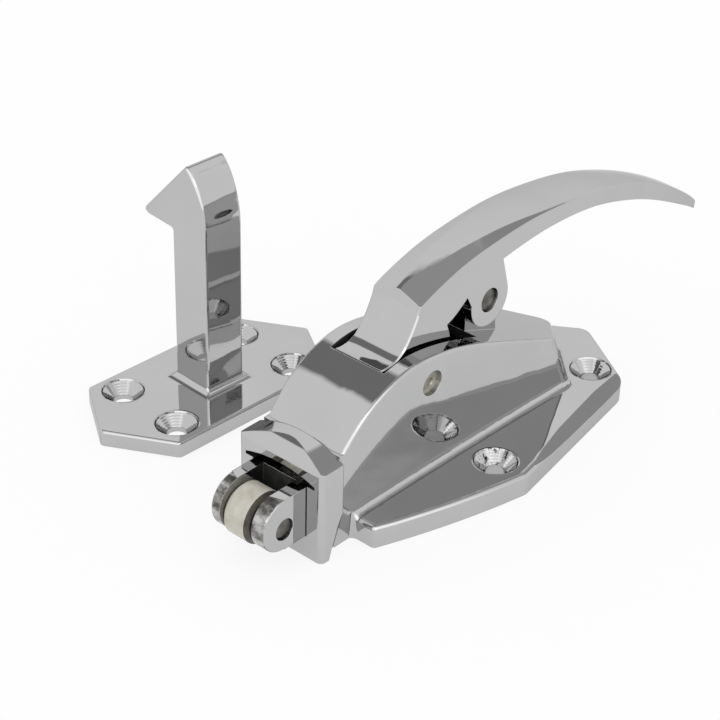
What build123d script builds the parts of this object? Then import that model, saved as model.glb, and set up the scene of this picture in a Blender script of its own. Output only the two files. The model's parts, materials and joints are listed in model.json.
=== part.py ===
from build123d import *
import math
import os

# All sizes are in millimetres and all angles in degrees.
# The back faces lie on z = 0, the bolt points to -X, and y = 0 is the plane of symmetry of the latch.

# Base flange of the body
flange_thick = 6.0
flange_edge_round = 1.3
rim_cutter_margin = 1.5

# Sloping band on the rim behind the wing corners: x, width
rim_bevel_slope = 0.52
rim_bevels = [(2.0, 0.4), (12.0, 2.2), (22.0, 3.2), (42.0, 3.7), (52.0, 3.2), (58.0, 2.2)]
neck_half = 10.4
wing_front_x = -41.0
wing_front_half = 17.8
wing_bulge = 1.05
wing_corner = (0.8, 30.5)
apex_x = 67.0
rear_corner_before_apex = 14.7
rear_corner = (apex_x - rear_corner_before_apex, 22.4)
flange_rounds = [2.4, 1.2, 5.0, 7.0, 4.0]

# Screw holes
screw_hole_r = 2.6
screw_rim_r = 5.6
screw_sink_depth = 3.0
front_hole_half = 21.25
rear_hole_x = 50.5
rear_hole_half = 12.9

# Hump of the body
hump_front_x = -47.0
hump_ramp_x = -46.0
hump_ramp_z = 26.2
hump_top = [(-40.0, 32.3), (-32.0, 37.2), (-22.0, 39.6), (-11.0, 38.5), (1.0, 35.2), (14.0, 30.35)]
rear_slope_deg = 22.0
rear_slope_start = (30.0, 23.95)
hump_foot_front_half = 10.9
hump_foot_mid_half = 11.4
hump_foot_rear_half = 13.1
hump_high_front_half = 12.7
hump_high_mid_half = 12.65
hump_high_rear_half = 12.2
hump_high_z = 45.0
hump_corner_before_apex = 23.7
hump_tip_before_apex = 11.1
hump_corner_x = apex_x - hump_corner_before_apex
hump_tip_x = apex_x - hump_tip_before_apex
hump_lean = 0.45
hump_edge_round = 0.8
hump_corner_round = 4.0
hump_rim_low_z = 15.0
foot_round = 2.0
wall = 2.4

# Nose of the body, round the bolt
nose_front_x = -54.2
nose_half = 13.3
nose_top_z = 28.1
nose_roll_z = 24.2
nose_roll_back = 5.7
nose_slant = 0.29
nose_shoulder_z = 24.7
nose_corner_round = 1.5
neck_scoop_r = 7.2
neck_scoop_x = -45.7
neck_scoop_top_z = 26.0

# Bolt and its channel
bolt_half = 8.4
bolt_axis_z = 11.75
bolt_below_axis = 5.65
bolt_bottom_z = bolt_axis_z - bolt_below_axis
bolt_height = 13.8
bolt_side_gap = 0.2
bolt_floor_gap = 0.15
bolt_head_gap = 0.75
bolt_step_x = -27.0
bolt_tail_half = 7.5
bolt_tail_x = -2.0
mouth_half = 10.9
mouth_depth = 4.2
mouth_side_z = 20.9
mouth_crown_z = 22.7
fork_eye_x = -61.3
fork_gap_near = 4.6
fork_gap_far = 5.5
fork_nose_r = 7.0
fork_edge_round = 0.6
roller_r = 6.7
roller_edge = 1.0
roller_near_half = 2.7
roller_far_half = 5.3
roller_floor_gap = 0.3
roller_pin_r = 2.8
roller_pin_recess = 0.7
press_gap = 0.01
roller_bore_gap = 0.06
stop_block_front_x = -41.6
stop_block_length = 7.0
stop_block_half = 7.4
stop_block_top_z = 24.0
cavity_front_x = -43.6
web_front_x = 27.5
web_thick = 3.0
cavity_rear_corner_x = hump_corner_x - 4.8
cavity_rear_tip = (hump_tip_x - 8.9, 1.5)
floor_bridge_x = (-12.0, 9.5)
channel_rear_x = cavity_front_x + 9.0

# Lever and its pivot
lever_pivot_x = 11.8
lever_pivot_z = 40.9
lever_pin_r = 3.2
lever_ear_r = 7.0
lever_half = 7.5
lug_half = 4.6
lug_r = 5.6
ear_inner_half = 4.8
pin_recess = 1.0
pin_running_gap = 0.05
lever_turn = 8.4
toe_under_z = 36.2
head_under_z = 35.0
lever_section_base_z = 18.0
head_edge_bevel = 0.35

# Lever sections: x, how far the sides stand in from lever_half, height of their upper edge,
# width of the facet, height of its upper edge, crest height
lever_stations = [
    (-30.0, 0.1, 43.6, 6.9, 45.5, 45.55),
    (-14.0, 0.1, 50.2, 6.8, 52.2, 52.25),
    (-8.5, 0.1, 52.3, 5.8, 54.05, 54.15),
    (-2.0, 0.1, 54.2, 4.6, 55.6, 55.75),
    (5.0, 0.1, 55.6, 3.85, 56.75, 56.95),
    (11.5, 0.1, 56.4, 3.2, 57.35, 57.6),
    (20.0, 0.1, 57.1, 2.2, 57.75, 58.15),
    (28.0, 0.15, 57.3, 1.15, 57.65, 58.2),
    (36.0, 0.25, 56.9, 0.5, 57.1, 57.75),
    (46.0, 0.55, 55.9, 0.4, 56.05, 56.75),
    (58.0, 1.05, 54.0, 0.35, 54.15, 54.85),
    (70.0, 1.75, 50.7, 0.35, 50.85, 51.5),
    (80.0, 2.45, 47.1, 0.3, 47.25, 47.85),
    (92.5, 3.45, 41.2, 0.25, 41.35, 41.8),
    (104.0, 4.65, 34.3, 0.2, 34.4, 34.8),
    (114.5, 6.2, 26.0, 0.15, 26.1, 26.4),
]

# Side view of the lever, each run of points in order
lever_chin = [
    (-28.0, 38.7),
    (-25.0, 38.5),
    (-22.3, 39.1),
    (-19.6, 41.1),
    (-17.2, 44.4),
    (-15.4, 47.8),
    (-14.3, 52.5),
]
lever_cut_top = [(-10.0, 70.0), (120.0, 70.0)]
lever_under = [
    (111.6, 26.3),
    (109.0, 27.9),
    (103.0, 31.1),
    (91.2, 37.1),
    (79.4, 42.4),
    (66.2, 47.1),
    (55.8, 49.9),
    (42.0, 51.8),
    (32.0, 52.1),
    (24.2, 51.6),
    (16.2, 50.7),
]
lever_heel = (18.6, 42.6)
lever_notch_root = (4.85, 41.7)
lever_notch = [(3.0, 45.2), (1.3, 44.0), (-0.3, 42.9), (-2.8, 41.5), (-4.4, 40.9)]
head_rear_x = -2.3
head_step_x = -22.8
toe_rear_x = -23.8
toe_front_x = -27.6
ear_room = [(-3.5, 20.0), (1.0, 46.0), (5.0, 50.0), (17.0, 50.5), (20.0, 46.0), (20.0, 20.0)]
lever_hollow_stations = [
    (19.0, 4.8, 54.0),
    (38.0, 4.6, 55.0),
    (58.0, 4.0, 51.8),
    (78.0, 3.1, 46.0),
    (94.0, 1.9, 38.6),
]

# Rocker between lever and bolt
rocker_pivot_x = -15.0
rocker_pivot_z = 31.5
rocker_turn = 28.0
rocker_side_gap = 0.3
rocker_plate_inner = lever_half + rocker_side_gap
rocker_plate_thick = 1.2
cavity_half = rocker_plate_inner + rocker_plate_thick + 0.25
rocker_boss_r = 4.6
rocker_bar_reach = 11.35
rocker_bar_r = 1.5
rocker_drive_reach = (rocker_pivot_z - bolt_axis_z) / math.cos(math.radians(rocker_turn / 2))
rocker_fork_length = rocker_drive_reach + 3.15
rocker_slot_depth = 6.6
rocker_fork_half = 4.6
drive_pin_r = 2.0
drive_pin_gap = 0.3
stub_head_r = 3.3
stub_journal_r = 2.5
stub_recess = 0.7

# Opening in the top of the hump for the head of the lever
top_opening_front_x = -28.2
top_opening_rear_x = 6.0
top_opening_half = lever_half + 0.9

# Bolt spring and its guide
spring_mean_r = 3.1
spring_wire_r = 0.55
spring_turns = 10
spring_bore_r = 4.2
spring_bore_depth = 13.5
spring_seat_thick = 0.8
guide_rod_r = 2.0
guide_rod_tip_x = -4.0

# Back plate
back_plate_thick = 1.5
back_plate_half = 14.5
back_plate_front_x = -37.5
back_plate_rear_x = 51.0
back_screw_r = 1.25
back_screw_head_r = 2.4
back_screw_length = 5.5
back_plate_corner_x = 37.0
back_plate_tip_half = 3.2
wing_pocket_depth = 2.2
front_pocket = [(-33.0, 17.5), (-8.5, 17.5), (-8.5, 25.5), (-20.0, 22.6), (-33.0, 18.6)]
middle_pocket = [(9.0, 17.5), (38.0, 17.5), (38.0, 21.2), (9.0, 25.6)]
back_screw_spots = [(-33.0, 12.0), (-33.0, -12.0), (31.0, 12.0), (31.0, -12.0)]

# Strike, the catch that stands beside the latch
strike_x = -20.24
strike_y = 58.24
strike_yaw = -2.457
strike_thick = 4.35
strike_half = 17.9
strike_shoulder_x = 25.5
strike_apex_x = 36.3
strike_hole_x = 20.1
strike_hole_y = 10.4
strike_post_half = 6.2
strike_post_x = 0.5
strike_foot_round = 2.3
strike_edge_round = 0.8
strike_rim_round = 0.8
strike_post_back = -6.2
strike_post_front = 6.0
strike_hook_root_z = 48.0
strike_hook_nose = [(14.6, 48.5), (16.5, 50.2), (0.6, 67.2)]
strike_back_curve = [(0.6, 67.2), (-2.6, 63.6), (-4.6, 59.2), (-5.8, 54.5), (strike_post_back, 49.5)]


def side_prism(outline, half):
    """Draw out a face seen from the side equally to both sides of y = 0."""
    return Pos(0, half, 0) * extrude(Plane.XZ * outline, amount=2 * half)


def across(x, z, radius, half):
    """Round bar along Y, centred on y = 0."""
    return Pos(x, 0, z) * Rot(90, 0, 0) * Cylinder(radius, 2 * half)


def block(x0, x1, y0, y1, z0, z1):
    """Box between two corners."""
    box = Box(x1 - x0, y1 - y0, z1 - z0)
    return Pos((x0 + x1) / 2, (y0 + y1) / 2, (z0 + z1) / 2) * box


def countersunk_hole(x, y, top_z):
    """Through hole with a conical sink that opens at the height top_z."""
    shaft = Pos(x, y, top_z / 2) * Cylinder(screw_hole_r, top_z + 2)
    sink = Pos(x, y, top_z - screw_sink_depth / 2) * Cone(screw_hole_r, screw_rim_r, screw_sink_depth)
    return shaft + sink


def hump_top_z(x):
    """Height of the straight rear slope of the hump."""
    return rear_slope_start[1] - math.tan(math.radians(rear_slope_deg)) * (x - rear_slope_start[0])


def hump_outline(lower=0.0):
    """Side view of the hump, or of the space inside it when lowered by a wall thickness."""
    front_x = hump_front_x if lower == 0 else cavity_front_x
    ramp_x = hump_ramp_x if lower == 0 else cavity_front_x
    start = (ramp_x, hump_ramp_z - lower + 1.05 * (ramp_x - hump_ramp_x))
    points = [(x, z - lower * 1.08) for x, z in hump_top]
    bend = (rear_slope_start[0], rear_slope_start[1] - lower * 1.08)
    slope = math.radians(rear_slope_deg)
    end_x = hump_tip_x + 3
    end = (end_x, bend[1] - math.tan(slope) * (end_x - bend[0]))
    arch = Spline(start, *points, bend, tangents=[(0.72, 0.69), (math.cos(slope), -math.sin(slope))])
    path = [arch, Line(bend, end), Line(end, (end_x, 0)), Line((end_x, 0), (front_x, 0))]
    if front_x == ramp_x:
        path.append(Line((front_x, 0), start))
    else:
        path.append(Line((front_x, 0), (front_x, start[1])))
        path.append(Line((front_x, start[1]), start))
    return make_face(path)


def hump_plan(level, front_half, mid_half, rear_half):
    """Plan of the hump at one height: slightly bowed sides and a V-shaped rear end."""
    shift = hump_lean * level
    corner_x = hump_corner_x - shift
    tip_x = hump_tip_x - shift
    left = ThreePointArc((hump_front_x, front_half), (0, mid_half), (corner_x, rear_half))
    right = ThreePointArc((corner_x, -rear_half), (0, -mid_half), (hump_front_x, -front_half))
    rear_left = Line((corner_x, rear_half), (tip_x, 0))
    rear_right = Line((tip_x, 0), (corner_x, -rear_half))
    front = Line((hump_front_x, -front_half), (hump_front_x, front_half))
    return Pos(0, 0, level) * make_face([left, rear_left, rear_right, right, front])


def flange(height):
    """Six-sided base flange with a narrow neck at the front."""
    mid_x = (wing_front_x + wing_corner[0]) / 2
    mid_y = (wing_front_half + wing_corner[1]) / 2 + wing_bulge
    left = ThreePointArc((wing_front_x, wing_front_half), (mid_x, mid_y), wing_corner)
    right_end = (wing_front_x, -wing_front_half)
    right = ThreePointArc((wing_corner[0], -wing_corner[1]), (mid_x, -mid_y), right_end)
    start_x = hump_front_x - 1
    plan = make_face(
        [
            Line((start_x, -neck_half), (start_x, neck_half)),
            Line((start_x, neck_half), (wing_front_x, neck_half)),
            Line((wing_front_x, neck_half), (wing_front_x, wing_front_half)),
            left,
            Line(wing_corner, rear_corner),
            Line(rear_corner, (apex_x, 0)),
            Line((apex_x, 0), (rear_corner[0], -rear_corner[1])),
            Line((rear_corner[0], -rear_corner[1]), (wing_corner[0], -wing_corner[1])),
            right,
            Line((wing_front_x, -wing_front_half), (wing_front_x, -neck_half)),
            Line((wing_front_x, -neck_half), (start_x, -neck_half)),
        ]
    )
    slab = extrude(plan, amount=height)
    corners_of_plan = [
        (wing_front_x, neck_half),
        (wing_front_x, wing_front_half),
        wing_corner,
        rear_corner,
        (apex_x, 0.0),
    ]
    for (x, y), radius in zip(corners_of_plan, flange_rounds):
        corners = [
            edge
            for edge in slab.edges().filter_by(Axis.Z)
            if abs(edge.center().X - x) < 0.1 and abs(abs(edge.center().Y) - y) < 0.1
        ]
        slab = fillet(corners, radius)
    return slab


def rim_cutter(sign):
    """Sloping band taken off the upper edge of the flange between the middle and rear corners."""
    sections = []
    for x, width in rim_bevels:
        share = (x - wing_corner[0]) / (rear_corner[0] - wing_corner[0])
        edge = wing_corner[1] + share * (rear_corner[1] - wing_corner[1])
        outer = edge + rim_cutter_margin
        low = flange_thick - rim_bevel_slope * (width + rim_cutter_margin)
        inner = edge - width
        high = flange_thick + 1
        outline = Polyline((inner, flange_thick), (outer, low), (outer, high), (inner, high), close=True)
        sections.append(Pos(x, 0, 0) * (Plane.YZ * make_face(outline)))
    cutter = loft(sections, ruled=True)
    return cutter if sign > 0 else mirror(cutter, about=Plane.XZ)


def hump():
    """Arched housing with leaning rear faces and rounded upper edges."""
    low = hump_plan(0, hump_foot_front_half, hump_foot_mid_half, hump_foot_rear_half)
    high = hump_plan(hump_high_z, hump_high_front_half, hump_high_mid_half, hump_high_rear_half)
    shell = loft([low, high], ruled=True) & side_prism(hump_outline(), nose_half + 5)
    uprights = [
        edge for edge in shell.edges() if edge.center().X > rear_slope_start[0] and 1 < edge.center().Z < 12
    ]
    shell = fillet(uprights, hump_corner_round)
    brim = [
        edge
        for edge in shell.edges()
        if edge.center().Z > hump_rim_low_z and abs(edge.center().Y) > 5 and edge.length > 3
    ]
    return fillet(brim, hump_edge_round)


def footed_hump():
    """Hump with a hollow round along its foot, trimmed to the outline of the flange."""
    side = wing_corner[1] + 20
    slab = block(hump_front_x - 20, apex_x + 20, -side, side, 0, flange_thick)
    shell = hump()
    joined = slab + shell
    foot = [
        edge
        for edge in joined.edges()
        if abs(edge.center().Z - flange_thick) < 0.05 and abs(edge.center().Y) < nose_half + 1
    ]
    foot = [edge for edge in foot if edge.center().X > hump_front_x + 3]
    joined = fillet(foot, foot_round)
    trimmed = joined & (flange(hump_high_z) + shell)
    brim = [
        edge
        for edge in trimmed.edges()
        if abs(edge.center().Z - flange_thick) < 0.01 and edge.center().X > wing_front_x - 0.3
    ]
    brim = [edge for edge in brim if abs(edge.center().Y) > 15 or edge.center().X > hump_tip_x + 2]
    return fillet(brim, flange_edge_round) - rim_cutter(1) - rim_cutter(-1)


def nose():
    """Block at the front of the hump with a rolled front edge and an arched top."""
    roll_x = nose_front_x + nose_roll_back
    bend = (nose_front_x + nose_slant * nose_roll_back, nose_top_z - nose_slant * (nose_top_z - nose_roll_z))
    side = make_face(
        [
            Line((nose_front_x, 0), (nose_front_x, nose_roll_z)),
            ThreePointArc((nose_front_x, nose_roll_z), bend, (roll_x, nose_top_z)),
            Line((roll_x, nose_top_z), (hump_front_x, nose_top_z)),
            Line((hump_front_x, nose_top_z), (hump_front_x, 0)),
            Line((hump_front_x, 0), (nose_front_x, 0)),
        ]
    )
    front = make_face(
        [
            Line((nose_half, nose_shoulder_z), (nose_half, 0)),
            Line((nose_half, 0), (-nose_half, 0)),
            Line((-nose_half, 0), (-nose_half, nose_shoulder_z)),
            ThreePointArc((-nose_half, nose_shoulder_z), (0, nose_top_z), (nose_half, nose_shoulder_z)),
        ]
    )
    depth = hump_front_x - nose_front_x
    across_view = extrude(Plane.YZ * front, amount=depth + 2, both=True)
    across_view = Pos((nose_front_x + hump_front_x) / 2, 0, 0) * across_view
    solid = side_prism(side, nose_half) & across_view
    corners = [edge for edge in solid.edges().filter_by(Axis.Z) if abs(edge.center().X - nose_front_x) < 0.1]
    solid = fillet(corners, nose_corner_round)
    for sign in (-1, 1):
        scoop = Cone(neck_scoop_r, 1.0, neck_scoop_top_z)
        centre_y = sign * (neck_half + neck_scoop_r)
        solid -= Pos(neck_scoop_x, centre_y, neck_scoop_top_z / 2) * scoop
    return solid


def cavity():
    """Space inside the hump for the mechanism, with a web left standing behind the spring."""
    tall = side_prism(hump_outline(wall), cavity_half)
    rear = Polyline(
        (cavity_front_x, -cavity_half),
        (cavity_rear_corner_x, -cavity_half),
        (cavity_rear_tip[0], -cavity_rear_tip[1]),
        cavity_rear_tip,
        (cavity_rear_corner_x, cavity_half),
        (cavity_front_x, cavity_half),
        close=True,
    )
    lean = extrude(make_face(rear), amount=hump_high_z, taper=0)
    room = tall & lean
    back = web_front_x + web_thick
    room -= block(web_front_x, back, -cavity_half, cavity_half, -1, hump_high_z)
    cap_z = hump_top_z(back + 8) - wall * 1.08
    room -= block(back + 8, hump_tip_x + 4, -cavity_half, cavity_half, cap_z - 4.0, hump_high_z)
    floor_top = bolt_bottom_z - bolt_floor_gap
    room -= block(cavity_front_x - 1, back_plate_front_x + 1.5, -cavity_half, cavity_half, -1, floor_top)
    room -= block(*floor_bridge_x, -cavity_half, cavity_half, -1, floor_top)
    return room


def bolt_channel():
    """Way through the nose for the bolt, with a wider arched mouth above it."""
    low = bolt_bottom_z - bolt_floor_gap
    high = bolt_bottom_z + bolt_height + bolt_head_gap
    half = bolt_half + bolt_side_gap
    way = block(nose_front_x - 1, channel_rear_x, -half, half, low, high)
    groove_z = bolt_axis_z - roller_r - roller_floor_gap
    groove_end = fork_eye_x + bolt_travel() + roller_r + 0.5
    way += block(nose_front_x - 1, groove_end, -fork_gap_near, fork_gap_far, groove_z, low + 1)
    arch = make_face(
        [
            Line((-mouth_half, high - 0.6), (-mouth_half, mouth_side_z)),
            ThreePointArc((-mouth_half, mouth_side_z), (0, mouth_crown_z), (mouth_half, mouth_side_z)),
            Line((mouth_half, mouth_side_z), (mouth_half, high - 0.6)),
            Line((mouth_half, high - 0.6), (-mouth_half, high - 0.6)),
        ]
    )
    mouth = extrude(Plane.YZ * arch, amount=mouth_depth)
    mouth = Pos(nose_front_x, 0, 0) * mouth
    mouth += Pos(nose_front_x - 1, 0, 0) * extrude(Plane.YZ * arch, amount=1.2)
    return way + mouth


def lever_lug():
    """Lug on the roof of the hump that carries the lever pin."""
    outline = Pos(lever_pivot_x, lever_pivot_z) * Circle(lug_r)
    base_z = rear_slope_start[1] + 1
    stem = Polyline(
        (lever_pivot_x - lug_r, lever_pivot_z),
        (lever_pivot_x - lug_r - 0.2, base_z + 5),
        (lever_pivot_x + lug_r + 1.2, base_z + 3),
        (lever_pivot_x + lug_r, lever_pivot_z),
        close=True,
    )
    return side_prism(outline + make_face(stem), lug_half)


def body():
    """Cast body: flange, hump, nose, lug and all the spaces cut into them."""
    casting = footed_hump() + nose() + lever_lug()
    casting -= cavity()
    casting -= bolt_channel()
    casting -= block(
        top_opening_front_x,
        top_opening_rear_x,
        -top_opening_half,
        top_opening_half,
        rocker_pivot_z - 4,
        hump_high_z,
    )
    casting -= across(lever_pivot_x, lever_pivot_z, lever_pin_r + pin_running_gap, lug_half + 1)
    casting -= across(rocker_pivot_x, rocker_pivot_z, stub_head_r, nose_half + 2)
    rod_hole = Pos(web_front_x + web_thick / 2, 0, bolt_axis_z) * Rot(0, 90, 0)
    casting -= rod_hole * Cylinder(guide_rod_r, web_thick + 2)
    for sign in (-1, 1):
        casting -= countersunk_hole(0, sign * front_hole_half, flange_thick)
        casting -= countersunk_hole(rear_hole_x, sign * rear_hole_half, flange_thick)
    casting -= extrude(back_plate_plan(0.1), amount=back_plate_thick)
    for x, y in back_screw_spots:
        casting -= Pos(x, y, back_screw_length / 2 + 0.2) * Cylinder(back_screw_r, back_screw_length + 0.4)
    for pocket in wing_pockets():
        casting -= pocket
    return casting


def wing_pockets():
    """Shallow coring pockets under the two wings of the flange."""
    front = fillet(make_face(Polyline(*front_pocket, close=True)).vertices(), 0.5)
    middle = fillet(make_face(Polyline(*middle_pocket, close=True)).vertices(), 1.2)
    pockets = []
    for plan in (front, middle):
        core = extrude(plan, amount=wing_pocket_depth)
        pockets.append(core)
        pockets.append(mirror(core, about=Plane.XZ))
    return pockets


def back_plate_plan(extra=0.0):
    """Plan of the cover that closes the underside, grown by a clearance for its seat."""
    half = back_plate_half + extra
    tip = back_plate_rear_x + extra
    front = back_plate_front_x - extra
    corner = back_plate_corner_x
    tip_half = back_plate_tip_half
    outline = Polyline(
        (front, -half),
        (corner, -half),
        (tip, -tip_half),
        (tip, tip_half),
        (corner, half),
        (front, half),
        close=True,
    )
    return fillet(make_face(outline).vertices(), 2.0)


def back_plate():
    """Flat steel cover with four countersunk holes."""
    plate = extrude(back_plate_plan(), amount=back_plate_thick)
    for x, y in back_screw_spots:
        plate -= Pos(x, y, back_plate_thick / 2) * Cylinder(back_screw_r + 0.15, back_plate_thick + 1)
        sink_r = back_screw_head_r + 0.1
        plate -= Pos(x, y, 0.6) * Cone(sink_r, back_screw_r + 0.15, 1.2)
    return plate


def back_plate_screws():
    """Four small countersunk screws with a cross recess."""
    screws = []
    for x, y in back_screw_spots:
        head = Pos(0, 0, 0.6) * Cone(back_screw_head_r, back_screw_r, 1.2)
        shank = Pos(0, 0, back_screw_length / 2) * Cylinder(back_screw_r - 0.02, back_screw_length)
        screw = head + shank
        screw -= Box(2.6, 0.6, 1.4)
        screw -= Box(0.6, 2.6, 1.4)
        screws.append(Pos(x, y, 0) * screw)
    return Compound(children=screws)


def lever_section(x, inset, edge_z, facet_width, crown_z, crest_z):
    """Cross-section of the lever: straight sides, sloping facets and a crowned top."""
    base = lever_section_base_z
    half = lever_half - inset
    crown_half = half - facet_width
    outline = make_face(
        [
            Line((-half, base), (half, base)),
            Line((half, base), (half, edge_z)),
            Line((half, edge_z), (crown_half, crown_z)),
            ThreePointArc((crown_half, crown_z), (0, crest_z), (-crown_half, crown_z)),
            Line((-crown_half, crown_z), (-half, edge_z)),
            Line((-half, edge_z), (-half, base)),
        ]
    )
    return Pos(x, 0, 0) * (Plane.YZ * outline)


def lever_side_view():
    """Side view of the lever: tongue, head, notch, ear and handle."""
    pivot = (lever_pivot_x, lever_pivot_z)
    toe_corner = (toe_front_x, toe_under_z)
    path = [
        Spline(*lever_chin),
        Polyline(lever_chin[-1], *lever_cut_top, lever_under[0]),
        Spline(*lever_under),
        Polyline(lever_under[-1], lever_heel, pivot, lever_notch_root, lever_notch[0]),
        Spline(*lever_notch),
        Polyline(
            lever_notch[-1],
            (head_rear_x, head_under_z),
            (head_step_x, head_under_z),
            (toe_rear_x, toe_under_z),
            toe_corner,
            lever_chin[0],
        ),
    ]
    return make_face(path) + Pos(*pivot) * Circle(lever_ear_r)


def lever():
    """Cast lever, hollow below, with a tongue at the front and two ears round the lug."""
    sections = [lever_section(*station) for station in lever_stations]
    solid = loft(sections) & side_prism(lever_side_view(), lever_half + 1)
    face_edges = [
        edge
        for edge in solid.edges()
        if abs(edge.center().Y) > lever_half - 0.6
        and edge.length > 10
        and head_step_x < edge.center().X < lever_chin[-1][0]
        and edge.center().Z > lever_chin[0][1]
    ]
    solid = chamfer(face_edges, head_edge_bevel)
    solid -= side_prism(make_face(Polyline(*ear_room, close=True)), ear_inner_half)
    hollow_sections = [
        Pos(x, 0, 0) * (Plane.YZ * (Pos(0, top / 2) * RectangleRounded(2 * half, top, 0.9)))
        for x, half, top in lever_hollow_stations
    ]
    solid -= loft(hollow_sections)
    solid -= across(lever_pivot_x, lever_pivot_z, lever_pin_r, lever_half + 1)
    return solid


def lever_pin():
    """Pin through the ears and the lug, its ends a little below the ear faces."""
    pin = across(lever_pivot_x, lever_pivot_z, lever_pin_r - press_gap, lever_half - pin_recess)
    return chamfer(pin.edges().filter_by(GeomType.CIRCLE), 0.4)


def rocker_stub(sign):
    """Stub pin pressed in one side wall, with a thinner journal for the rocker."""
    outer = hump_high_front_half - 0.55 - stub_recess
    head = Pos(0, 0, (cavity_half + outer) / 2) * Cylinder(stub_head_r - press_gap, outer - cavity_half)
    inner = rocker_plate_inner - 0.1
    journal = Pos(0, 0, (cavity_half + inner) / 2) * Cylinder(stub_journal_r, cavity_half - inner)
    dimple = Pos(0, 0, outer) * Cone(0.8, 1.4, 0.6)
    pin = head + journal - dimple
    return Pos(rocker_pivot_x, 0, rocker_pivot_z) * Rot(-90 * sign, 0, 0) * pin


def rocker_point(distance, angle):
    """Point of the rocker at a distance from its pivot; the angle is measured from -X towards +Z."""
    turn = math.radians(angle)
    return (rocker_pivot_x - distance * math.cos(turn), rocker_pivot_z + distance * math.sin(turn))


def rocker_bar_centre():
    """Centre of the cross bar that the toe of the lever presses on."""
    return rocker_point(rocker_bar_reach, rocker_turn / 2)


def drive_pin_centre():
    """Centre of the drive pin in the bolt, at rest."""
    drop = rocker_pivot_z - bolt_axis_z
    return (rocker_pivot_x - drop * math.tan(math.radians(rocker_turn / 2)), bolt_axis_z)


def bolt_travel():
    """Travel of the bolt over the whole turn of the rocker."""
    return 2 * (rocker_pivot_x - drive_pin_centre()[0])


def rocker_plate(sign):
    """Side plate of the rocker with a short front arm and an open fork below."""
    pivot = Pos(rocker_pivot_x, rocker_pivot_z)
    bar = rocker_bar_centre()
    lean = rocker_turn / 2 - 90
    fork_end = rocker_point(rocker_fork_length - rocker_fork_half, lean)
    boss = pivot * Circle(rocker_boss_r)
    front_arm = make_hull(boss.edges() + (Pos(*bar) * Circle(rocker_bar_r + 0.6)).edges())
    lower_arm = make_hull(boss.edges() + (Pos(*fork_end) * Circle(rocker_fork_half)).edges())
    slot_start = rocker_point(rocker_fork_length - rocker_slot_depth, lean)
    slot_end = rocker_point(rocker_fork_length + 6, lean)
    slot_r = drive_pin_r + drive_pin_gap
    slot = make_hull((Pos(*slot_start) * Circle(slot_r)).edges() + (Pos(*slot_end) * Circle(slot_r)).edges())
    outline = front_arm + lower_arm - slot
    outline -= pivot * Circle(stub_journal_r + pin_running_gap)
    outline -= Pos(*bar) * Circle(rocker_bar_r - 0.4)
    plate = extrude(Plane.XZ * outline, amount=rocker_plate_thick)
    shift = -rocker_plate_inner if sign < 0 else rocker_plate_inner + rocker_plate_thick
    return Pos(0, shift, 0) * plate


def rocker_bar():
    """Round cross bar riveted between the two rocker plates."""
    x, z = rocker_bar_centre()
    bar = across(x, z, rocker_bar_r, rocker_plate_inner)
    return bar + across(x, z, rocker_bar_r - 0.4, rocker_plate_inner + rocker_plate_thick)


def bolt():
    """Sliding bolt with a fork for the roller, a stop block and a bore for the spring."""
    top = bolt_bottom_z + bolt_height
    bar = block(fork_eye_x, bolt_step_x, -bolt_half, bolt_half, bolt_bottom_z, top)
    eye = across(fork_eye_x, (bolt_bottom_z + top) / 2, fork_nose_r, bolt_half)
    eye = fillet(eye.edges().filter_by(GeomType.CIRCLE), fork_edge_round)
    bar += eye & block(fork_eye_x - 10, bolt_step_x, -bolt_half, bolt_half, bolt_bottom_z, top)
    bar += block(bolt_step_x, bolt_tail_x, -bolt_tail_half, bolt_tail_half, bolt_bottom_z, top)
    block_rear = stop_block_front_x + stop_block_length
    bar += block(stop_block_front_x, block_rear, -stop_block_half, stop_block_half, top - 1, stop_block_top_z)
    gap_end = fork_eye_x + roller_r + 0.7
    bar -= block(fork_eye_x - 10, gap_end, -fork_gap_near, fork_gap_far, 0, top + 3)
    bar -= across(fork_eye_x, bolt_axis_z, roller_pin_r, bolt_half + 1)
    x, z = drive_pin_centre()
    bar -= across(x, z, drive_pin_r, bolt_half + 1)
    bore = Pos(bolt_tail_x - spring_bore_depth / 2 + 0.5, 0, bolt_axis_z) * Rot(0, 90, 0)
    bar -= bore * Cylinder(spring_bore_r, spring_bore_depth + 1)
    return bar


def drive_pin():
    """Pin through the bolt whose two ends ride in the forks of the rocker."""
    x, z = drive_pin_centre()
    return across(x, z, drive_pin_r, rocker_plate_inner + rocker_plate_thick + 0.1)


def roller_pin():
    """Axle of the roller, held in the two sides of the bolt fork."""
    pin = across(fork_eye_x, bolt_axis_z, roller_pin_r - press_gap, bolt_half - roller_pin_recess)
    return chamfer(pin.edges().filter_by(GeomType.CIRCLE), 0.35)


def roller():
    """Nylon roller with bevelled edges."""
    width = roller_near_half + roller_far_half
    wheel = Cylinder(roller_r, width)
    wheel = chamfer(wheel.edges().filter_by(GeomType.CIRCLE), roller_edge)
    wheel -= Cylinder(roller_pin_r + roller_bore_gap, width + 2)
    middle = (roller_far_half - roller_near_half) / 2
    return Pos(fork_eye_x, middle, bolt_axis_z) * Rot(90, 0, 0) * wheel


def spring_span():
    """First and last X of the bolt spring at rest."""
    return (bolt_tail_x - spring_bore_depth, web_front_x - spring_seat_thick)


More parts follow.
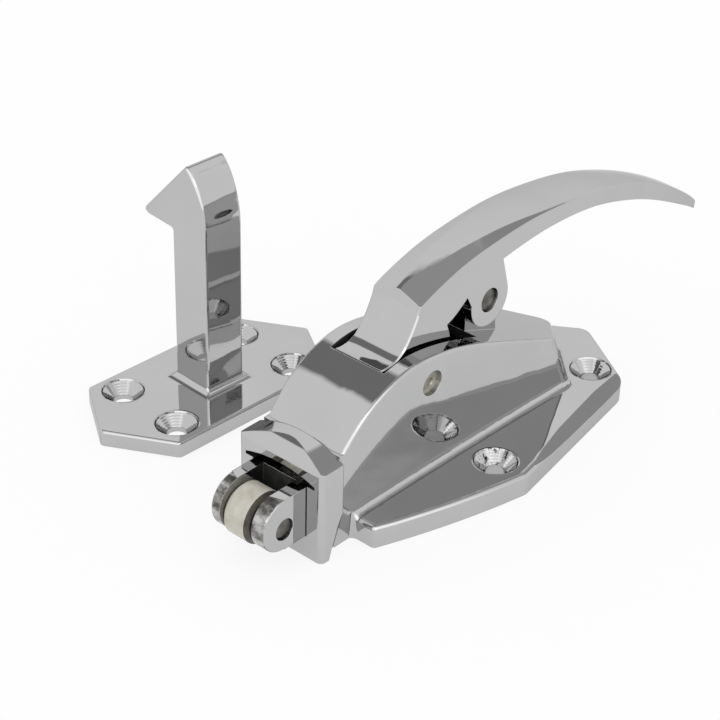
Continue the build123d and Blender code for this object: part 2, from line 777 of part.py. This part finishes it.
def bolt_spring():
    """Compression spring with flat ground ends, lying along the bolt."""
    start, end = spring_span()
    length = end - start
    pitch = (length - 2 * spring_wire_r) / spring_turns
    coil = Helix(pitch=pitch, height=length - 2 * spring_wire_r, radius=spring_mean_r)
    ring = Plane(origin=coil @ 0, z_dir=coil % 0) * Circle(spring_wire_r)
    wire = sweep(ring, path=coil)
    for level in (0, length - 2 * spring_wire_r):
        ring = Rot(0, 0, 0) * Torus(spring_mean_r, spring_wire_r)
        wire += Pos(0, 0, level) * ring
    return Pos(start + spring_wire_r, 0, bolt_axis_z) * Rot(0, 90, 0) * wire


def spring_guide():
    """Rod inside the spring, pressed in the web and headed behind it."""
    back = web_front_x + web_thick
    along = Pos(0, 0, bolt_axis_z) * Rot(0, 90, 0)
    rod = Pos(0, 0, (guide_rod_tip_x + back) / 2) * Cylinder(guide_rod_r - press_gap, back - guide_rod_tip_x)
    head = Pos(0, 0, back + 0.6) * Cylinder(guide_rod_r + 1.2, 1.2)
    return along * (rod + head)


def spring_washer():
    """Flat washer between the spring and the web."""
    ring = Cylinder(spring_bore_r, spring_seat_thick) - Cylinder(guide_rod_r + 0.1, spring_seat_thick + 1)
    return Pos(web_front_x - spring_seat_thick / 2, 0, bolt_axis_z) * Rot(0, 90, 0) * ring


def stop_buffer():
    """Rubber pad that stops the bolt at the end of its outward travel."""
    low = bolt_bottom_z + bolt_height + bolt_head_gap
    high = stop_block_top_z + 0.5
    pad = block(cavity_front_x, stop_block_front_x, -stop_block_half, stop_block_half, low, high)
    return fillet(pad.edges().filter_by(Axis.X), 1.0)


def strike_plate():
    """Six-sided plate of the strike with four countersunk holes."""
    half = strike_half
    outline = Polyline(
        (-strike_apex_x, 0),
        (-strike_shoulder_x, half),
        (strike_shoulder_x, half),
        (strike_apex_x, 0),
        (strike_shoulder_x, -half),
        (-strike_shoulder_x, -half),
        close=True,
    )
    plan = fillet(make_face(outline).vertices(), 1.6)
    return extrude(plan, amount=strike_thick)


def strike_post():
    """Post of the strike with the hook at its top, seen from the side and drawn out in width."""
    foot_z = strike_thick - 1
    back = strike_post_back
    front = strike_post_front
    view = make_face(
        [
            Polyline((back, foot_z), (front, foot_z), (front, strike_hook_root_z), *strike_hook_nose),
            Spline(*strike_back_curve),
            Line(strike_back_curve[-1], (back, foot_z)),
        ]
    )
    return Pos(strike_post_x - strike_post_half, 0, 0) * extrude(Plane.YZ * view, amount=2 * strike_post_half)


def strike():
    """Cast strike: plate and hooked post in one piece, turned as it stands beside the latch."""
    plate = strike_plate()
    solid = plate + strike_post()
    top = strike_thick
    foot = [
        edge
        for edge in solid.edges()
        if abs(edge.center().Z - top) < 0.01
        and abs(edge.center().X - strike_post_x) < strike_post_half + 0.5
        and strike_post_back - 0.5 < edge.center().Y < strike_post_front + 0.5
    ]
    solid = fillet(foot, strike_foot_round)
    above_foot = top + strike_foot_round + 0.5
    hook = [edge for edge in solid.edges() if edge.center().Z > above_foot and edge.length > 5]
    solid = fillet(hook, strike_edge_round)
    brim = [
        edge
        for edge in solid.edges()
        if abs(edge.center().Z - top) < 0.01
        and (abs(edge.center().X) > strike_shoulder_x or abs(edge.center().Y) > strike_half - 1)
    ]
    solid = fillet(brim, strike_rim_round)
    for x in (-strike_hole_x, strike_hole_x):
        for y in (-strike_hole_y, strike_hole_y):
            solid -= countersunk_hole(x, y, top)
    return Pos(strike_x, strike_y, 0) * Rot(0, 0, strike_yaw) * solid


def build_nodes():
    """All the nodes by name."""
    return {
        "body": body(),
        "back_plate": back_plate(),
        "back_plate_screws": back_plate_screws(),
        "strike": strike(),
        "lever": lever(),
        "lever_pin": lever_pin(),
        "rocker_pin_left": rocker_stub(1),
        "rocker_pin_right": rocker_stub(-1),
        "rocker_plate_left": rocker_plate(1),
        "rocker_plate_right": rocker_plate(-1),
        "rocker_bar": rocker_bar(),
        "bolt": bolt(),
        "drive_pin": drive_pin(),
        "roller": roller(),
        "roller_pin": roller_pin(),
        "bolt_spring": bolt_spring(),
        "spring_guide": spring_guide(),
        "spring_washer": spring_washer(),
        "stop_buffer": stop_buffer(),
    }


if __name__ == "__main__":
    os.makedirs("parts", exist_ok=True)
    for name, shape in build_nodes().items():
        export_step(shape, f"parts/{name}.step")
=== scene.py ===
import bpy
import json
import math
from mathutils import Matrix, Vector


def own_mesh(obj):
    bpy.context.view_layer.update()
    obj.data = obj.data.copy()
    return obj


# Chrome latch and its strike on a white floor. Lengths are in metres, from the origin of the part.

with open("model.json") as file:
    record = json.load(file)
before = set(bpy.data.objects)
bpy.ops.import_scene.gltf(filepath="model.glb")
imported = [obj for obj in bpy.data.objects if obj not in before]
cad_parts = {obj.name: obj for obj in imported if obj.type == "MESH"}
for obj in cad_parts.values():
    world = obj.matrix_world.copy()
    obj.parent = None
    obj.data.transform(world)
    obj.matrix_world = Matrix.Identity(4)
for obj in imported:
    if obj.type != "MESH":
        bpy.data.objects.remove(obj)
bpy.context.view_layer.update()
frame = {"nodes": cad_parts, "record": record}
nodes = frame["nodes"]

# Countersinks of the latch and the strike, from the frame's mounts, and the marks of the tool in them
mounts = {mount["name"]: mount for mount in frame["record"]["mounts"]}
hole_centres = []
for row in ("front_screws", "rear_screws"):
    row_x = mounts[row]["pos_m"][0]
    half_spacing = mounts[row]["dims"]["spacing_y_mm"] / 2000.0
    hole_centres += [(row_x, half_spacing), (row_x, -half_spacing)]
hole_centres += [tuple(mounts[f"strike_hole_{i}"]["pos_m"][:2]) for i in (1, 2, 3, 4)]
hole_rim = 0.0056
hole_top = 0.0062
lip_width = 0.00035
ring_pitch = 0.00055
ring_share = 0.014
ring_strength = 0.8
ring_depth = 0.0003


def node_tree(material):
    """Emptied node tree of a material."""
    material.use_nodes = True
    tree = material.node_tree
    tree.nodes.clear()
    return tree


def add(tree, kind, **values):
    """New node, with its properties set."""
    node = tree.nodes.new(kind)
    for key, value in values.items():
        setattr(node, key, value)
    return node


def texture_space(tree, scale=(1.0, 1.0, 1.0)):
    """Object coordinates in millimetres, stretched by scale."""
    coords = add(tree, "ShaderNodeTexCoord")
    mapping = add(tree, "ShaderNodeMapping")
    mapping.inputs["Scale"].default_value = [1000.0 * factor for factor in scale]
    tree.links.new(coords.outputs["Object"], mapping.inputs["Vector"])
    return mapping.outputs["Vector"]


def noise(tree, vector, scale, detail=3.0, rough=0.5):
    """Noise from 0 to 1; a scale of 1 has marks about a millimetre wide."""
    node = add(tree, "ShaderNodeTexNoise")
    node.inputs["Scale"].default_value = scale
    node.inputs["Detail"].default_value = detail
    node.inputs["Roughness"].default_value = rough
    tree.links.new(vector, node.inputs["Vector"])
    return node.outputs["Fac"]


def ramp(tree, fac, stops):
    """Colour of a factor, from stops of a place and a colour."""
    node = add(tree, "ShaderNodeValToRGB")
    band = node.color_ramp
    while len(band.elements) < len(stops):
        band.elements.new(0.5)
    for element, (place, colour) in zip(band.elements, stops):
        element.position = place
        element.color = (*colour, 1.0)
    tree.links.new(fac, node.inputs["Fac"])
    return node.outputs["Color"]


def spread(tree, fac, low, high):
    """Factor from 0 to 1 spread from low to high."""
    node = add(tree, "ShaderNodeMapRange")
    node.inputs["To Min"].default_value = low
    node.inputs["To Max"].default_value = high
    tree.links.new(fac, node.inputs["Value"])
    return node.outputs["Result"]


def bump(tree, height, strength, distance, under=None):
    """Normal of a bumpy face, on top of the normal under it."""
    node = add(tree, "ShaderNodeBump")
    node.inputs["Strength"].default_value = strength
    node.inputs["Distance"].default_value = distance
    tree.links.new(height, node.inputs["Height"])
    if under is not None:
        tree.links.new(under, node.inputs["Normal"])
    return node.outputs["Normal"]


def finish_shader(tree, colour, roughness, normal, metallic):
    """Surface shader of a material, joined to its output."""
    shader = add(tree, "ShaderNodeBsdfPrincipled")
    out = add(tree, "ShaderNodeOutputMaterial")
    shader.inputs["Metallic"].default_value = metallic
    tree.links.new(colour, shader.inputs["Base Color"])
    tree.links.new(roughness, shader.inputs["Roughness"])
    tree.links.new(normal, shader.inputs["Normal"])
    tree.links.new(shader.outputs["BSDF"], out.inputs["Surface"])
    return shader


def math_node(tree, operation, first, second=0.0):
    """Math node; each value is a socket or a number."""
    node = add(tree, "ShaderNodeMath", operation=operation)
    for socket, value in zip(node.inputs, (first, second)):
        if isinstance(value, (int, float)):
            socket.default_value = value
        else:
            tree.links.new(value, socket)
    return node.outputs["Value"]


def turned_rings(tree):
    """Height of the lip round each countersink and of the tool rings inside it."""
    coords = add(tree, "ShaderNodeTexCoord")
    flat = add(tree, "ShaderNodeVectorMath", operation="MULTIPLY")
    flat.inputs[1].default_value = (1.0, 1.0, 0.0)
    tree.links.new(coords.outputs["Object"], flat.inputs[0])
    nearest = None
    for centre in hole_centres:
        reach = add(tree, "ShaderNodeVectorMath", operation="DISTANCE")
        reach.inputs[1].default_value = (*centre, 0.0)
        tree.links.new(flat.outputs["Vector"], reach.inputs[0])
        distance = reach.outputs["Value"]
        nearest = distance if nearest is None else math_node(tree, "MINIMUM", nearest, distance)
    split = add(tree, "ShaderNodeSeparateXYZ")
    tree.links.new(coords.outputs["Object"], split.inputs["Vector"])
    low = math_node(tree, "LESS_THAN", split.outputs["Z"], hole_top)
    inside = math_node(tree, "LESS_THAN", nearest, hole_rim - lip_width)
    rings = math_node(tree, "SINE", math_node(tree, "MULTIPLY", nearest, 2 * math.pi / ring_pitch))
    rings = math_node(tree, "MULTIPLY", math_node(tree, "MULTIPLY", rings, inside), ring_share)
    off = math_node(tree, "ABSOLUTE", math_node(tree, "SUBTRACT", nearest, hole_rim))
    lip = math_node(tree, "SUBTRACT", 1.0, math_node(tree, "DIVIDE", off, lip_width))
    lip = math_node(tree, "MAXIMUM", lip, 0.0)
    return math_node(tree, "MULTIPLY", math_node(tree, "ADD", rings, lip), low)


def chrome_material():
    """Mirror chrome over a hand-polished casting: long waves, faint haze and fine wiping marks."""
    material = bpy.data.materials.new("polished_chrome")
    tree = node_tree(material)
    space = texture_space(tree)
    haze = noise(tree, space, scale=0.05, detail=4.0)
    dark = (0.50, 0.50, 0.505)
    light = (0.525, 0.525, 0.525)
    colour = ramp(tree, haze, [(0.3, dark), (0.7, light)])
    along_x = texture_space(tree, (0.25, 1.0, 1.0))
    roughness = spread(tree, noise(tree, along_x, scale=1.6, detail=5.0, rough=0.6), low=0.02, high=0.06)
    eased_edge = add(tree, "ShaderNodeBevel", samples=6)
    eased_edge.inputs["Radius"].default_value = 0.00028
    long_waves = noise(tree, space, scale=0.085, detail=1.0)
    waved = bump(tree, long_waves, strength=0.12, distance=0.0006, under=eased_edge.outputs["Normal"])
    short_waves = noise(tree, space, scale=0.3, detail=1.0)
    wiped = bump(tree, short_waves, strength=0.035, distance=0.00015, under=waved)
    normal = bump(tree, turned_rings(tree), ring_strength, ring_depth, under=wiped)
    shader = finish_shader(tree, colour, roughness, normal, metallic=1.0)
    grazing_tint = 0.7
    shader.inputs["Specular Tint"].default_value = (grazing_tint, grazing_tint, grazing_tint, 1.0)
    return material


def speckled_material():
    """Chrome of the latch's front countersinks, with tool rings and dark specks of dirt."""
    material = bpy.data.materials.new("speckled_chrome")
    tree = node_tree(material)
    specks = noise(tree, texture_space(tree, (1.0, 1.0, 0.4)), scale=0.42, detail=4.0, rough=0.65)
    dirt = (0.03, 0.029, 0.027)
    stain = (0.3, 0.298, 0.292)
    clean = (0.54, 0.54, 0.54)
    colour = ramp(tree, specks, [(0.39, dirt), (0.43, stain), (0.48, clean)])
    roughness = spread(tree, specks, low=0.04, high=0.16)
    normal = bump(tree, turned_rings(tree), ring_strength, ring_depth)
    finish_shader(tree, colour, roughness, normal, metallic=1.0)
    return material


def scuffed_material():
    """Chrome with shallow pits and dark rub marks, on the rims of the bolt's ears."""
    material = bpy.data.materials.new("scuffed_chrome")
    tree = node_tree(material)
    marks = noise(tree, texture_space(tree, (1.0, 0.6, 1.0)), scale=0.22, detail=4.0, rough=0.65)
    rubbed = (0.10, 0.095, 0.088)
    worn = (0.34, 0.335, 0.325)
    clean = (0.54, 0.54, 0.54)
    colour = ramp(tree, marks, [(0.40, rubbed), (0.52, worn), (0.6, clean)])
    roughness = spread(tree, marks, low=0.06, high=0.25)
    pits = noise(tree, texture_space(tree), scale=0.6, detail=3.0)
    normal = bump(tree, pits, strength=0.3, distance=0.0002)
    finish_shader(tree, colour, roughness, normal, metallic=1.0)
    return material


def steel_material(name, low, high, rough_low, rough_high, grain=(1.0, 1.0, 1.0)):
    """Plain steel with fine grain and slight staining."""
    material = bpy.data.materials.new(name)
    tree = node_tree(material)
    stain = noise(tree, texture_space(tree), scale=0.35, detail=4.0)
    colour = ramp(tree, stain, [(0.3, low), (0.7, high)])
    lines = noise(tree, texture_space(tree, grain), scale=2.2, detail=6.0, rough=0.65)
    roughness = spread(tree, lines, rough_low, rough_high)
    normal = bump(tree, lines, strength=0.25, distance=0.00006)
    finish_shader(tree, colour, roughness, normal, metallic=1.0)
    return material


def nylon_material(name, dark, middle, light):
    """Mottled nylon with fine marks round the roller."""
    material = bpy.data.materials.new(name)
    tree = node_tree(material)
    space = texture_space(tree)
    cloud = noise(tree, space, scale=0.28, detail=5.0, rough=0.6)
    colour = ramp(tree, cloud, [(0.25, dark), (0.5, middle), (0.75, light)])
    roughness = spread(tree, noise(tree, space, scale=0.9, detail=3.0), low=0.35, high=0.55)
    across = noise(tree, texture_space(tree, (1.0, 0.2, 1.0)), scale=2.5, detail=4.0)
    normal = bump(tree, across, strength=0.25, distance=0.00008)
    shader = finish_shader(tree, colour, roughness, normal, metallic=0.0)
    shader.inputs["Subsurface Weight"].default_value = 0.15
    shader.inputs["Subsurface Radius"].default_value = (0.002, 0.0018, 0.0014)
    return material


def rubber_material():
    """Matt black rubber."""
    material = bpy.data.materials.new("black_rubber")
    tree = node_tree(material)
    space = texture_space(tree)
    cloud = noise(tree, space, scale=0.6, detail=4.0)
    colour = ramp(tree, cloud, [(0.3, (0.018, 0.018, 0.018)), (0.7, (0.04, 0.04, 0.038))])
    roughness = spread(tree, cloud, low=0.6, high=0.85)
    normal = bump(tree, noise(tree, space, scale=3.0, detail=3.0), strength=0.3, distance=0.00008)
    finish_shader(tree, colour, roughness, normal, metallic=0.0)
    return material


def shaded_casting_material():
    """Unpolished inside of a casting, near-black: partly oil and dust, partly painted shade of the deep
    hollows and the fork floor.
    """
    material = bpy.data.materials.new("shaded_casting")
    tree = node_tree(material)
    space = texture_space(tree)
    cloud = noise(tree, space, scale=0.4, detail=5.0, rough=0.6)
    colour = ramp(tree, cloud, [(0.3, (0.012, 0.012, 0.013)), (0.7, (0.05, 0.05, 0.048))])
    roughness = spread(tree, cloud, low=0.35, high=0.6)
    normal = bump(tree, noise(tree, space, scale=1.6, detail=4.0), strength=0.4, distance=0.0001)
    finish_shader(tree, colour, roughness, normal, metallic=0.3)
    return material


def dress(names, material):
    """Give whole pieces a material."""
    for name in names:
        piece = nodes[name]
        piece.data.materials.clear()
        piece.data.materials.append(material)


pin_steel = steel_material(
    "pin_steel",
    low=(0.16, 0.15, 0.13),
    high=(0.42, 0.40, 0.35),
    rough_low=0.10,
    rough_high=0.28,
)
# Dark steel: worn steel on the lever and roller pins, and painted shade on the wall at the back of the mouth
worn_and_shaded_steel = steel_material(
    "worn_and_shaded_steel",
    low=(0.06, 0.058, 0.053),
    high=(0.20, 0.192, 0.178),
    rough_low=0.12,
    rough_high=0.30,
    grain=(1.0, 0.2, 1.0),
)
dull_steel = steel_material(
    "dull_steel",
    low=(0.30, 0.29, 0.27),
    high=(0.42, 0.41, 0.39),
    rough_low=0.25,
    rough_high=0.5,
    grain=(0.2, 1.0, 1.0),
)
nylon = nylon_material(
    "nylon",
    dark=(0.42, 0.385, 0.30),
    middle=(0.53, 0.51, 0.44),
    light=(0.64, 0.63, 0.58),
)
# Near-black nylon: painted shade on the roller's near end, which lies in shadow between the ears
shaded_nylon = nylon_material(
    "shaded_nylon",
    dark=(0.02, 0.017, 0.013),
    middle=(0.05, 0.043, 0.033),
    light=(0.11, 0.098, 0.078),
)
dress(["body", "lever", "bolt", "strike"], chrome_material())
dress(["rocker_pin_left", "rocker_pin_right", "drive_pin"], pin_steel)
dress(["lever_pin", "roller_pin"], worn_and_shaded_steel)
dress(
    [
        "back_plate",
        "back_plate_screws",
        "rocker_plate_left",
        "rocker_plate_right",
        "rocker_bar",
        "bolt_spring",
        "spring_guide",
        "spring_washer",
    ],
    dull_steel,
)
dress(["roller"], nylon)
dress(["stop_buffer"], rubber_material())

# Profile of the hump's roof along the latch, as x and height
roof_line = [
    (-0.047, 0.0262),
    (-0.040, 0.0323),
    (-0.032, 0.0372),
    (-0.022, 0.0396),
    (-0.011, 0.0385),
    (0.001, 0.0352),
    (0.014, 0.0303),
    (0.030, 0.0239),
    (0.060, 0.0118),
]

# Limits of the mouth, the hump's hollow and the fork, for choosing their faces
mouth_front_x = -0.05415
mouth_wall_front_x = -0.0515
mouth_rear_x = -0.047
mouth_half = 0.01095
mouth_floor_z = 0.0045
mouth_wall_low_z = 0.0184
mouth_top_z = 0.0225
hollow_rear_x = 0.048
hollow_half = 0.0094
hollow_floor_z = 0.0016
narrowing_x = 0.0385
narrowing_slope = 0.93
roof_thick = 0.0014
past_roof = 0.0005
fork_root_x = -0.0530
fork_near_y = -0.00465
fork_far_y = 0.00555
ear_rim_x = -0.0595

# Parts of a face's normal, for telling ends, walls, cones and rims apart
square_on = 0.9
upright_z = 0.3
cone_low_z = 0.2
cone_high_z = 0.95
rim_y = 0.8
roller_end_y = -0.35


def roof_height(x):
    """Height of the hump's roof at x."""
    for (x0, z0), (x1, z1) in zip(roof_line, roof_line[1:]):
        if x0 <= x <= x1:
            return z0 + (z1 - z0) * (x - x0) / (x1 - x0)
    return 0.0


def mouth_wall(face):
    """Wall at the back of the mouth, above the bolt."""
    x, _, z = face.center
    return face.normal.x < -square_on and mouth_wall_front_x < x < mouth_rear_x and z > mouth_wall_low_z


def inside_body(face):
    """Rough inside of the mouth and the hump, with the walls of the hump's openings up to their edge."""
    x, y, z = face.center
    in_mouth = mouth_front_x < x < mouth_rear_x and abs(y) < mouth_half and mouth_floor_z < z < mouth_top_z
    room = hollow_half - max(0.0, x - narrowing_x) * narrowing_slope
    is_wall = abs(face.normal.z) < upright_z
    top = roof_height(x) + (past_roof if is_wall else -roof_thick)
    in_hollow = mouth_rear_x < x < hollow_rear_x and abs(y) < room and hollow_floor_z < z < top
    return in_mouth or in_hollow


def inside_fork(face):
    """Floor of the fork, between the ears."""
    x, y, _ = face.center
    return x < fork_root_x and fork_near_y < y < fork_far_y and abs(face.normal.y) < square_on


def countersink(face):
    """Cones of the latch's two front screw holes."""
    x, y, z = face.center
    reach = min(math.hypot(x - hole_x, y - hole_y) for hole_x, hole_y in hole_centres[:2])
    return reach < hole_rim and z < hole_top and cone_low_z < face.normal.z < cone_high_z


def fork_rim(face):
    """Narrow rims of the two ears at the nose of the bolt."""
    return face.center.x < ear_rim_x and abs(face.normal.y) < rim_y and not inside_fork(face)


def roller_end(face):
    """Near end of the roller and its bevel, made near-black as painted shade where it lies in the shadow of
    the ears.
    """
    return face.normal.y < roller_end_y


def give_faces(name, material, chosen):
    """Give the chosen faces of a piece a material of their own."""
    mesh = nodes[name].data
    mesh.materials.append(material)
    for face in mesh.polygons:
        if chosen(face):
            face.material_index = len(mesh.materials) - 1


shaded_casting = shaded_casting_material()
# Painted shade: the mouth and the hump's hollow get the near-black casting, partly for grime
give_faces("body", shaded_casting, inside_body)
# Painted shade: the chrome wall at the back of the mouth, deep above the bolt, gets the dark steel
give_faces("body", worn_and_shaded_steel, mouth_wall)
give_faces("body", speckled_material(), countersink)
# Painted shade: the floor of the fork between the ears, deep behind the roller, is made near-black
give_faces("bolt", shaded_casting, inside_fork)
give_faces("bolt", scuffed_material(), fork_rim)
# Painted shade: the roller's near end gets the near-black nylon
give_faces("roller", shaded_nylon, roller_end)

# Smooth shading with the real edges kept sharp
sharp_from_deg = 28
for piece in nodes.values():
    piece.data.polygons.foreach_set("use_smooth", [True] * len(piece.data.polygons))
    piece.data.set_sharp_from_angle(angle=math.radians(sharp_from_deg))
    weighted = piece.modifiers.new("flat_faces_first", "WEIGHTED_NORMAL")
    weighted.keep_sharp = True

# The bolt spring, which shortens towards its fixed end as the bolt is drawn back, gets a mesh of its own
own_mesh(nodes["bolt_spring"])


def big_plane(name, size, height):
    """Square plane round the origin."""
    mesh = bpy.data.meshes.new(name)
    half = size / 2
    corners = [(-half, -half), (half, -half), (half, half), (-half, half)]
    mesh.from_pydata([(x, y, height) for x, y in corners], [], [(0, 1, 2, 3)])
    plane = bpy.data.objects.new(name, mesh)
    bpy.context.scene.collection.objects.link(plane)
    return plane


def floor_material():
    """Pale floor that looks white to the camera and in the metal, and keeps the object's shadow."""
    paper = 0.93
    white_share = 0.85
    mirrored_share = 0.75
    material = bpy.data.materials.new("floor_paper")
    tree = node_tree(material)
    diffuse = add(tree, "ShaderNodeBsdfDiffuse")
    diffuse.inputs["Color"].default_value = (paper, paper, paper, 1.0)
    glow = add(tree, "ShaderNodeEmission")
    glow.inputs["Color"].default_value = (1.0, 1.0, 1.0, 1.0)
    path = add(tree, "ShaderNodeLightPath")
    mirrored = math_node(tree, "MULTIPLY", path.outputs["Is Glossy Ray"], mirrored_share)
    seen = math_node(tree, "MAXIMUM", path.outputs["Is Camera Ray"], mirrored)
    share = math_node(tree, "MULTIPLY", seen, white_share)
    mix = add(tree, "ShaderNodeMixShader")
    out = add(tree, "ShaderNodeOutputMaterial")
    tree.links.new(share, mix.inputs["Fac"])
    tree.links.new(diffuse.outputs["BSDF"], mix.inputs[1])
    tree.links.new(glow.outputs["Emission"], mix.inputs[2])
    tree.links.new(mix.outputs["Shader"], out.inputs["Surface"])
    return material


floor_size = 8.0
floor_z = -0.00005
floor = big_plane("floor", floor_size, floor_z)
floor.data.materials.append(floor_material())


def studio_world():
    """White surroundings for the camera; for the metal a pale room with darker patches and a bright side."""
    world = bpy.data.worlds.new("studio")
    bpy.context.scene.world = world
    world.use_nodes = True
    tree = world.node_tree
    tree.nodes.clear()
    coords = add(tree, "ShaderNodeTexCoord")
    direction = coords.outputs["Generated"]
    split = add(tree, "ShaderNodeSeparateXYZ")
    tree.links.new(direction, split.inputs["Vector"])

    def eased(value, start, end, before, after):
        """Value that eases from before to after between start and end."""
        node = add(tree, "ShaderNodeMapRange", interpolation_type="SMOOTHSTEP")
        node.inputs["From Min"].default_value = start
        node.inputs["From Max"].default_value = end
        node.inputs["To Min"].default_value = before
        node.inputs["To Max"].default_value = after
        tree.links.new(value, node.inputs["Value"])
        return node.outputs["Result"]

    def zone(towards, start, end, before, after):
        """Level round a direction; start and end are cosines of the angle to it."""
        dot = add(tree, "ShaderNodeVectorMath", operation="DOT_PRODUCT")
        dot.inputs[1].default_value = Vector(towards).normalized()
        tree.links.new(direction, dot.inputs[0])
        return eased(dot.outputs["Value"], start, end, before, after)

    ceiling = eased(split.outputs["Z"], start=0.76, end=0.84, before=1.0, after=0.47)
    dark_corner = zone((0.02, 0.57, 0.82), start=0.93, end=0.97, before=1.0, after=0.25)
    dark_panel = zone((0.68, -0.22, 0.70), start=0.968, end=0.985, before=1.0, after=0.50)
    dark_strip = zone((0.70, 0.02, 0.70), start=0.962, end=0.978, before=1.0, after=0.42)
    dark_shelf = zone((0.81, -0.13, 0.575), start=0.980, end=0.990, before=1.0, after=0.42)
    dark_ledge = zone((0.645, -0.53, 0.545), start=0.994, end=0.9985, before=1.0, after=0.74)
    light_wall = zone((-0.557, 0.321, 0.766), start=0.86, end=0.91, before=0.0, after=1.0)
    bright_side = zone((-0.62, -0.75, 0.22), start=0.45, end=0.72, before=0.0, after=0.65)
    level = ceiling
    for patch in (dark_corner, dark_panel, dark_strip, dark_shelf, dark_ledge):
        level = math_node(tree, "MINIMUM", level, patch)
    level = math_node(tree, "MAXIMUM", level, light_wall)
    level = math_node(tree, "ADD", level, bright_side)
    tone = add(tree, "ShaderNodeCombineColor")
    for channel in ("Red", "Green", "Blue"):
        tree.links.new(level, tone.inputs[channel])
    white = add(tree, "ShaderNodeBackground")
    white.inputs["Color"].default_value = (1.0, 1.0, 1.0, 1.0)
    room = add(tree, "ShaderNodeBackground")
    tree.links.new(tone.outputs["Color"], room.inputs["Color"])
    path = add(tree, "ShaderNodeLightPath")
    mix = add(tree, "ShaderNodeMixShader")
    out = add(tree, "ShaderNodeOutputWorld")
    tree.links.new(path.outputs["Is Glossy Ray"], mix.inputs["Fac"])
    tree.links.new(white.outputs["Background"], mix.inputs[1])
    tree.links.new(room.outputs["Background"], mix.inputs[2])
    tree.links.new(mix.outputs["Shader"], out.inputs["Surface"])


studio_world()


def soft_lamp(name, place, target, size, power):
    """Rectangular area lamp, in metres and watts, that points at target."""
    data = bpy.data.lights.new(name, "AREA")
    data.shape = "RECTANGLE"
    data.size = size[0]
    data.size_y = size[1]
    data.energy = power
    lamp = bpy.data.objects.new(name, data)
    bpy.context.scene.collection.objects.link(lamp)
    lamp.location = place
    aim = Vector(target) - Vector(place)
    lamp.rotation_euler = aim.to_track_quat("-Z", "Y").to_euler()


soft_lamp("key_lamp", place=(-0.45, -0.95, 0.70), target=(0.0, 0.0, 0.02), size=(0.35, 0.35), power=0.5)

# Camera at the photograph's viewing angle: the directions behind it and to its right, and a small roll
camera_data = bpy.data.cameras.new("camera")
camera_data.sensor_width = 36.0
camera_data.lens = 100.0
camera_data.clip_start = 0.01
camera_data.clip_end = 20.0
camera = bpy.data.objects.new("camera", camera_data)
bpy.context.scene.collection.objects.link(camera)
back = Vector((-0.63897, -0.55543, 0.53218))
right = Vector((0.65605, -0.75472, 0.0))
up = back.cross(right).normalized()
roll = math.radians(-1.566)
right_rolled = right * math.cos(roll) - up * math.sin(roll)
up_rolled = right * math.sin(roll) + up * math.cos(roll)
turn = Matrix((right_rolled, up_rolled, back)).transposed().to_4x4()
camera_place = (-0.325446, -0.259285, 0.286573)
camera.matrix_world = Matrix.Translation(camera_place) @ turn
bpy.context.scene.camera = camera

bpy.context.scene.view_settings.view_transform = "Standard"
